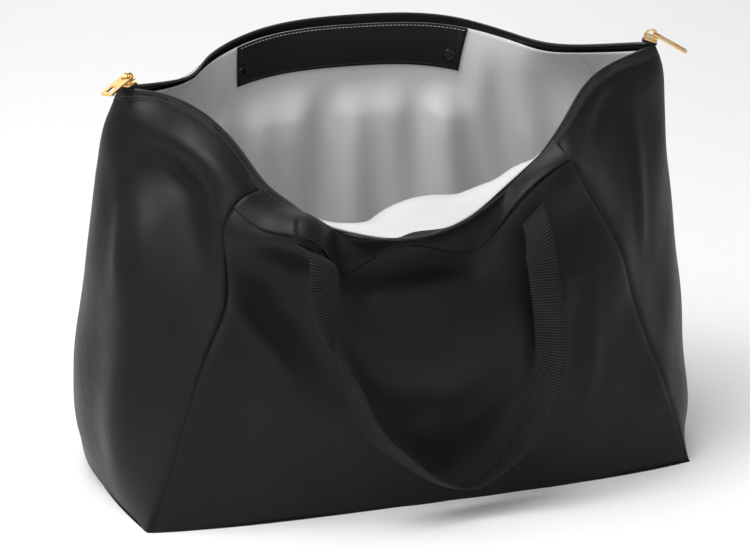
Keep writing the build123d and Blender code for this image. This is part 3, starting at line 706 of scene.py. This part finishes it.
FRONT_LINING = np.array([
    [(-0.982, -0.962, 0.01), (-0.925, -0.985, 0.102), (-0.843, -1.016, 0.295),
     (-0.764, -1.008, 0.448), (-0.689, -0.954, 0.562), (-0.67, -0.87, 0.665),
     (-0.64, -0.82, 0.735), (-0.585, -0.78, 0.77), (-0.52, -0.77, 0.79)],
    [(-0.55, -1.0, 0.01), (-0.6, -1.05, 0.108), (-0.56, -1.08, 0.255), (-0.52, -1.03, 0.39),
     (-0.47, -0.93, 0.52), (-0.43, -0.82, 0.63), (-0.415, -0.80, 0.70), (-0.413, -0.88, 0.735),
     (-0.414, -0.97, 0.735)],
    [(-0.28, -1.01, 0.01), (-0.31, -1.05, 0.108), (-0.31, -1.1, 0.25), (-0.30, -1.08, 0.38),
     (-0.28, -0.97, 0.498), (-0.27, -0.87, 0.60), (-0.29, -0.84, 0.68), (-0.31, -0.95, 0.712),
     (-0.315, -1.11, 0.706)],
    [(0, -1.01, 0.01), (-0.007, -1.05, 0.1), (-0.018, -1.13, 0.245), (-0.029, -1.1, 0.37),
     (-0.043, -0.92, 0.50), (-0.08, -0.72, 0.62), (-0.11, -0.70, 0.69), (-0.12, -0.92, 0.706),
     (-0.124, -1.23, 0.69)],
    [(0.2, -1.01, 0.01), (0.15, -1.05, 0.1), (0.13, -1.12, 0.245), (0.12, -1.07, 0.38),
     (0.12, -0.87, 0.51), (0.13, -0.66, 0.635), (0.14, -0.58, 0.70), (0.145, -0.71, 0.721),
     (0.148, -1.04, 0.709)],
    [(0.3, -1.005, 0.01), (0.225, -1.05, 0.098), (0.21, -1.115, 0.24), (0.208, -1.075, 0.383),
     (0.218, -0.9, 0.52), (0.24, -0.68, 0.645), (0.265, -0.57, 0.72), (0.275, -0.65, 0.742),
     (0.28, -0.865, 0.743)],
    [(0.4, -1.0, 0.01), (0.3, -1.05, 0.095), (0.29, -1.11, 0.235), (0.295, -1.08, 0.385),
     (0.315, -0.93, 0.525), (0.35, -0.70, 0.652), (0.39, -0.53, 0.733), (0.405, -0.54, 0.768),
     (0.415, -0.66, 0.776)],
    [(0.982, -0.962, 0.01), (0.9, -0.977, 0.165), (0.825, -0.954, 0.305), (0.762, -0.924, 0.428),
     (0.69, -0.86, 0.572), (0.61, -0.74, 0.69), (0.555, -0.62, 0.76), (0.53, -0.55, 0.80),
     (0.522, -0.53, 0.815)],
], dtype=float) * HALF
BACK_LINING = np.array([
    [(0.982, 0.962, 0.01), (0.93, 0.993, 0.112), (0.866, 1.03, 0.275), (0.805, 1.04, 0.425),
     (0.742, 1.03, 0.58), (0.685, 0.985, 0.725), (0.645, 0.9, 0.85), (0.64, 0.845, 0.91),
     (0.645, 0.81, 0.955)],
    [(0.507, 0.995, 0.01), (0.504, 1.055, 0.112), (0.489, 1.12, 0.262), (0.468, 1.15, 0.425),
     (0.446, 1.15, 0.588), (0.43, 1.115, 0.75), (0.44, 1.06, 0.895), (0.456, 1.045, 0.95),
     (0.47, 1.045, 0.988)],
    [(0, 1.01, 0.01), (0, 1.08, 0.112), (0, 1.16, 0.262), (0, 1.21, 0.425), (0.007, 1.22, 0.588),
     (0.018, 1.195, 0.75), (0.04, 1.15, 0.91), (0.07, 1.145, 0.97), (0.09, 1.155, 1.01)],
    [(-0.507, 0.995, 0.01), (-0.5, 1.055, 0.112), (-0.482, 1.12, 0.262), (-0.457, 1.15, 0.425),
     (-0.429, 1.15, 0.588), (-0.4, 1.12, 0.75), (-0.36, 1.075, 0.905), (-0.348, 1.06, 0.96),
     (-0.336, 1.06, 0.996)],
    [(-0.982, 0.962, 0.01), (-0.925, 0.993, 0.112), (-0.85, 1.03, 0.275), (-0.786, 1.04, 0.425),
     (-0.715, 1.03, 0.58), (-0.645, 0.985, 0.73), (-0.575, 0.91, 0.862), (-0.545, 0.86, 0.92),
     (-0.525, 0.83, 0.965)],
], dtype=float) * HALF
STRIP_DEPTH = 0.045
STRIP_TAPER = 0.045
STRIP_RIGHT, STRIP_LEFT = 0.165, 0.868    # strip's ends, as shares of the back lining's width


def lining(side, ribs, tuck, folds):
    """Make a lining on its own ribs, tucked in behind the shell's folds and softly folded."""
    hung = own_cloth(ribs, None, 0.0, LINING_ROWS, even_places(ribs, LINING_SPACING))
    return cloth_piece(f"{side}_lining_satin", hanging_folds(tucked(hung, *tuck), *folds),
                       LINING_WALL, satin, "lining_satin", f"lining_{side}")


front_lining = lining("front", FRONT_LINING, (0.010, 0.45), (0.0010, 0.5))
LINING_SEAMS = inset_ribs(np.array([0.55, 17.0, 17.5]))
BACK_ALL = np.concatenate([LINING_SEAMS[1:], BACK_LINING, LINING_SEAMS[:1]])
beyond = arc(BACK_ALL[:, 6])
strip_right, strip_left = (beyond[2] + np.array([STRIP_RIGHT, STRIP_LEFT])
                           * (beyond[-2] - beyond[2])) / beyond[-1]
back_places = even_places(BACK_ALL, LINING_SPACING)
back_satin = own_cloth(BACK_ALL, None, 0.0, LINING_ROWS, back_places)
across = np.linspace(0, 1, len(back_places))[None, :]
upward = np.linspace(0, 1, LINING_ROWS)[:, None]
behind_strip = (smooth_step(across, strip_right - 0.05, strip_right)
                * smooth_step(-across, -strip_left - 0.05, -strip_left)
                * smooth_step(upward, 0.76, 0.86))
back_lining = cloth_piece("back_lining_satin", hanging_folds(back_satin, 0.0052, 0.3, behind_strip),
                          LINING_WALL, satin, "lining_satin", "lining_back")
LEFT_LINING = np.concatenate([LINING_SEAMS[:1], inset_ribs(np.arange(1.0, 6.0, 0.5)),
                              FRONT_LINING[:1]])
RIGHT_LINING = np.concatenate([FRONT_LINING[-1:], inset_ribs(np.arange(14.0, 17.0, 0.5)),
                               LINING_SEAMS[1:2]])
left_lining = lining("left", LEFT_LINING, (0.010, 0.15), (0.0014, 0.35))
right_lining = lining("right", RIGHT_LINING, (0.008, 0.15), (0.0014, 0.35))
floor_lining = cloth_piece("floor_lining_satin", bottom(FLOOR_HEIGHT, FLOOR_INSET),
                           LINING_WALL, satin, "lining_satin", "lining_floor")

# ---- pocket behind the front panel ----
pocket_top = hem
pocket_places = columns_between(LEFT_SEAM + 0.35, RIGHT_SEAM - 0.25, 0.006)
pocket_grid = creased(drape(levels_between(pocket_top * POCKET_FOOT, pocket_top, 40),
                            pocket_places))
pocket = cloth_piece("pocket_satin", pocket_grid - outward(pocket_grid) * POCKET_IN, POCKET_WALL,
                     satin, "lining_satin", "front_pocket_lining")

# ---- snap strip ----
strip_places = even_places(BACK_ALL, 0.003, strip_right, strip_left)
strip_face = own_cloth(BACK_ALL, STRIP_DEPTH, 0.0, 18, strip_places)
strip_face = strip_face - outward(strip_face) * STRIP_OUT
narrow = np.linspace(1 - STRIP_TAPER, 1, len(strip_face))       # its lower edge is the shorter
span = np.arange(len(strip_places))
strip_face = np.stack([np.stack([np.interp(span * part, span, row[:, a]) for a in range(3)], axis=1)
                       for row, part in zip(strip_face, narrow)])
snap_strip = cloth_piece("snap_strip_cloth", strip_face, STRIP_WALL, strip_cloth, "strip_nylon",
                         "back_snap_strip")


# ---- zip and stitches ----
def spread(line, steps):
    """Return points at running lengths along a line of points."""
    walked = arc(line)
    return np.stack([np.interp(steps, walked, line[:, a]) for a in range(3)], axis=1)


def beads(name, line, up_line, pitch, size, material, body="bag"):
    """Set a row of small six-sided bars along a line, each along it, one each pitch metres.

    up_line is the same row a little further up the cloth: it gives each bar's width direction.
    The bar's corners are a hexagon, wide by high, at the two ends of its length.
    """
    length, wide, high = size
    total = arc(line)[-1]
    steps = np.arange(pitch, total - pitch, pitch)
    middle = spread(line, steps)
    ahead = spread(line, steps + pitch * 0.2) - spread(line, steps - pitch * 0.2)
    ahead /= np.linalg.norm(ahead, axis=1, keepdims=True)
    share = steps / total
    up = spread(up_line, share * arc(up_line)[-1]) - middle
    up -= ahead * np.einsum("ij,ij->i", up, ahead)[:, None]
    up /= np.linalg.norm(up, axis=1, keepdims=True)
    out = np.cross(ahead, up)
    turn = np.radians([0, 60, 120, 180, 240, 300])
    hexagon = np.stack([np.cos(turn) * wide / 2, np.sin(turn) * high / 1.732], axis=1)
    corners = np.concatenate([np.column_stack([np.full(6, side * length / 2), hexagon])
                              for side in (-1, 1)])
    points = (middle[:, None] + corners[None, :, :1] * ahead[:, None]
              + corners[None, :, 1:2] * up[:, None] + corners[None, :, 2:] * out[:, None])
    round_it = np.arange(6)
    sides = np.stack([round_it, (round_it + 1) % 6, (round_it + 1) % 6 + 6, round_it + 6], axis=1)
    ends = np.array([[3, 2, 1, 0], [5, 4, 3, 0], [6, 7, 8, 9], [6, 9, 10, 11]])
    one = np.concatenate([sides, ends])[:, ::-1]
    faces = (one[None] + 12 * np.arange(len(steps))[:, None, None]).reshape(-1, 4)
    made = piece(name, points, faces, material, body=body, smooth=False)
    return made


def lifted_row(first, last, depth, proud, on_yoke=False, spacing=0.002):
    """Return a row of the shell at a depth below the teeth, standing proud, and the row above."""
    levels = np.stack([below_teeth(depth + 0.001), below_teeth(depth), below_teeth(depth - 0.001)])
    places = columns_between(first, last, spacing)
    grid = creased(drape(levels, places))
    lift = yoke_lift([depth] * 3, places) if on_yoke else np.zeros((3, len(places)))
    grid = grid + outward(grid) * (lift + proud)[..., None]
    return grid[1], grid[2]


for side, first, last in (("front", LEFT_END, RIGHT_END), ("back", RIGHT_END, COUNT + LEFT_END)):
    places = columns_between(first, last, FINE)
    tape = drape(levels_between(below_teeth(TAPE_WIDTH), below_teeth(TAPE_TOP), 6), places)
    tape = tape + outward(tape) * TAPE_WALL / 2
    zip_tape = cloth_piece(f"{side}_zip_ribbon", tape, TAPE_WALL, zip_cloth, "zip_tape",
                           f"{side}_zip_tape")
    row, above = lifted_row(first, last, TEETH_HEIGHT / 2, 0.0)
    teeth = beads(f"{side}_coil", row, above, COIL_PITCH, (COIL_LENGTH, TEETH_HEIGHT, COIL_HIGH),
                  coil)
    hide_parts(f"{side}_zip_teeth")
    row, above = lifted_row(first + 0.1, last - 0.1, ZIP_STITCH_DEPTH, 0.0001, on_yoke=True)
    beads(f"{side}_topstitch", row, above, STITCH_PITCH, STITCH_SIZE, thread)
edge = strip_face - outward(strip_face) * 0.0013
beads("strip_top_stitch", edge[-2], edge[-1], STRIP_STITCH_PITCH, STRIP_STITCH_SIZE, grey_thread)
beads("strip_bottom_stitch", edge[1], edge[2], STRIP_STITCH_PITCH, STRIP_STITCH_SIZE, thread)
for side, column, beside in (("right", 2, 3), ("left", -3, -2)):
    beads(f"strip_{side}_stitch", edge[:, column], edge[:, beside], STRIP_STITCH_PITCH,
          STRIP_STITCH_SIZE, thread)

# ---- handles ----
FRONT_ROUTE = [
    (-0.443, -1.4, 0.685), (-0.432, -1.438, 0.595), (-0.425, -1.462, 0.527),
    (-0.407, -1.485, 0.46), (-0.371, -1.5, 0.41), (-0.336, -1.508, 0.348),
    (-0.261, -1.492, 0.24), (-0.168, -1.469, 0.175), (-0.082, -1.446, 0.122),
    (0.0, -1.431, 0.085), (0.086, -1.415, 0.068), (0.2, -1.4, 0.108), (0.289, -1.392, 0.175),
    (0.35, -1.385, 0.255), (0.379, -1.369, 0.325), (0.389, -1.346, 0.4), (0.382, -1.308, 0.498),
    (0.371, -1.254, 0.585), (0.361, -1.177, 0.672)]
FRONT_ACROSS = [
    (0.97, 0.25, 0), (0.8, 0.6, -0.1), (0.32, 0.9, -0.3), (-0.05, 0.95, -0.3),
    (-0.3, 0.9, -0.3), (-0.4, 0.87, -0.3), (-0.25, 0.9, -0.35), (-0.12, 0.93, -0.34),
    (-0.04, 0.94, -0.33), (0, 0.94, -0.33), (-0.1, 0.97, -0.2), (-0.3, 0.93, 0.1),
    (-0.6, 0.75, 0.3), (-0.78, 0.6, 0.25), (-0.93, 0.35, 0.05), (-0.98, 0.15, 0),
    (-1, 0.05, 0)]
BACK_ROUTE = [
    (-0.386, 1.385, 0.83), (-0.4, 1.44, 0.73), (-0.4, 1.49, 0.63), (-0.375, 1.51, 0.54),
    (-0.32, 1.525, 0.455), (-0.232, 1.53, 0.38), (-0.125, 1.53, 0.325), (0.02, 1.53, 0.3),
    (0.16, 1.53, 0.325), (0.28, 1.53, 0.38), (0.368, 1.525, 0.455), (0.42, 1.51, 0.54),
    (0.443, 1.49, 0.63), (0.443, 1.44, 0.73), (0.432, 1.375, 0.82)]
BACK_ACROSS = [
    (-0.97, -0.2, 0), (-0.85, -0.5, -0.05), (-0.6, -0.78, -0.1), (-0.3, -0.93, -0.15),
    (-0.1, -0.97, -0.2), (0, -0.97, -0.22), (0, -0.97, -0.2), (0, -0.97, -0.2),
    (0.1, -0.97, -0.15), (0.3, -0.93, -0.1), (0.6, -0.78, -0.05), (0.85, -0.5, 0),
    (0.97, -0.2, 0)]


def strap_end(rib):
    """Return the sewn end of a strap at a rib, from under the yoke to its lower edge.

    Three spots at depths below the teeth, the direction across, and the outward normal.
    """
    depths = np.array([0.031, 0.040, YOKE_DEPTH + 0.001])
    levels = LENGTH[None, :] - depths[:, None]
    grid = creased(drape(levels, rib + np.array([-0.05, 0.0, 0.05])))
    normal = outward(grid)[:, 1]
    across = grid[2, 2] - grid[2, 0]
    return grid[:, 1] + normal * 0.0011, across / np.linalg.norm(across), normal[2]


def handle(name, body, left_rib, right_rib, route, across, clear, push):
    """Make one handle of flat webbing: its two edges are splines, half a width from its middle.

    The section is a flat bar with rounded edges, carried along both edges.
    """
    first, first_across, first_normal = strap_end(left_rib)
    last, last_across, last_normal = strap_end(right_rib)
    route = np.array(route) * HALF
    start_hinge = first[2] + first_normal * clear + push * BLEND_REACH
    stop_hinge = last[2] + last_normal * clear + push * BLEND_REACH
    middle = np.concatenate([first, [start_hinge], route, [stop_hinge], last[::-1]])
    sign = 1.0 if np.dot(first_across, across[0]) > 0 else -1.0
    last_sign = 1.0 if np.dot(last_across, across[-1]) > 0 else -1.0
    turn = np.concatenate([[first_across * sign] * 5, across, [last_across * last_sign] * 5])
    turn = turn / np.linalg.norm(turn, axis=1, keepdims=True)
    reach = np.linspace(0, len(middle) - 1, 420)
    edges = [through((middle + turn * half)[None], reach)[0]
             for half in (-WEBBING_WIDTH / 2, WEBBING_WIDTH / 2)]
    centre = (edges[0] + edges[1]) / 2
    side = edges[1] - edges[0]
    side /= np.linalg.norm(side, axis=1, keepdims=True)
    ahead = np.gradient(centre, axis=0)
    face = np.cross(side, ahead)
    face /= np.linalg.norm(face, axis=1, keepdims=True)
    place = np.array([-1, -0.97, -0.6, -0.2, 0.2, 0.6, 0.97, 1, 1, 0.97, 0.6, 0.2, -0.2, -0.6,
                      -0.97, -1]) * WEBBING_WIDTH / 2
    rise = np.array([0.45, 1, 1, 1, 1, 1, 1, 0.45, -0.45, -1, -1, -1, -1, -1, -1, -0.45])
    rise = rise * WEBBING_WALL / 2
    points = (centre[:, None] + side[:, None] * place[None, :, None]
              + face[:, None] * rise[None, :, None])
    walked = arc(centre)
    uv = np.stack(np.broadcast_arrays(place[None, :], walked[:, None]), axis=-1)
    count = len(place)
    faces = quads(len(reach), count, closed=True)
    half = count // 2
    low = np.arange(half - 1)
    cap = np.stack([low, low + 1, count - 2 - low, count - 1 - low], axis=1)
    top = cap + (len(reach) - 1) * count
    faces = np.concatenate([faces[:, ::-1], cap, top[:, ::-1]])
    made = piece(name, points, faces, webbing, body=None, uv=uv)
    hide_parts(body, f"{body}_tails")
    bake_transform(made)


handle("front_strap_webbing", "front_handle", LEFT_STRAP, RIGHT_STRAP, FRONT_ROUTE, FRONT_ACROSS,
       HINGE_CLEAR, np.array([0.12, -0.70, -0.70]))
handle("back_strap_webbing", "back_handle", BACK_LEFT_STRAP, BACK_RIGHT_STRAP, BACK_ROUTE,
       BACK_ACROSS, HINGE_CLEAR, np.array([0.0, 0.60, -0.80]))


# ---- folded cloth ends of the zip ----
def soft_tab(name, node, material):
    """Make a small folded tab in the box of its CAD node: a rounded pillow with a centre crease."""
    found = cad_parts[node]
    co = np.array([v.co for v in found.data.vertices])
    middle = co.mean(axis=0)
    axes = np.linalg.svd(co - middle, full_matrices=False)[2]
    local = (co - middle) @ axes.T
    low, high = local.min(axis=0), local.max(axis=0)
    size, shift = (high - low) / 2, (high + low) / 2
    a = np.linspace(-np.pi / 2, np.pi / 2, 15)[:, None]
    b = np.linspace(0, 2 * np.pi, 32, endpoint=False)[None, :]

    def squared(value, power):
        return np.sign(value) * np.abs(value) ** power

    x = squared(np.cos(a), 0.45) * squared(np.cos(b), 0.45)
    y = squared(np.cos(a), 0.45) * squared(np.sin(b), 0.45)
    z = squared(np.sin(a), 0.8) * (1 - 0.25 * np.exp(-(y / 0.2) ** 2))
    grid = np.stack(np.broadcast_arrays(x, y, z), axis=-1) * size + shift
    flip = np.sign(np.linalg.det(axes))
    faces = quads(15, 32, closed=True)
    made = piece(name, grid @ axes + middle, faces if flip > 0 else faces[:, ::-1], material)
    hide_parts(node)
    return made


soft_tab("left_end_tab", "left_zip_end", nylon)
soft_tab("right_end_tab", "right_zip_end", nylon)

# ---- metal and board ----
for node, finish in (("left_slider", gold), ("right_slider", gold), ("left_pull", gold),
                     ("right_pull", gold), ("snap_sockets", dark_metal),
                     ("snap_rivets", dark_metal), ("base_board", board)):
    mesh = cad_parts[node].data
    mesh.materials.clear()
    mesh.materials.append(finish.material)

piece("floor", np.array([[[-6, -6, 0], [6, -6, 0]], [[-6, 8, 0], [6, 8, 0]]], float),
               quads(2, 2), pale, body=None, smooth=False)
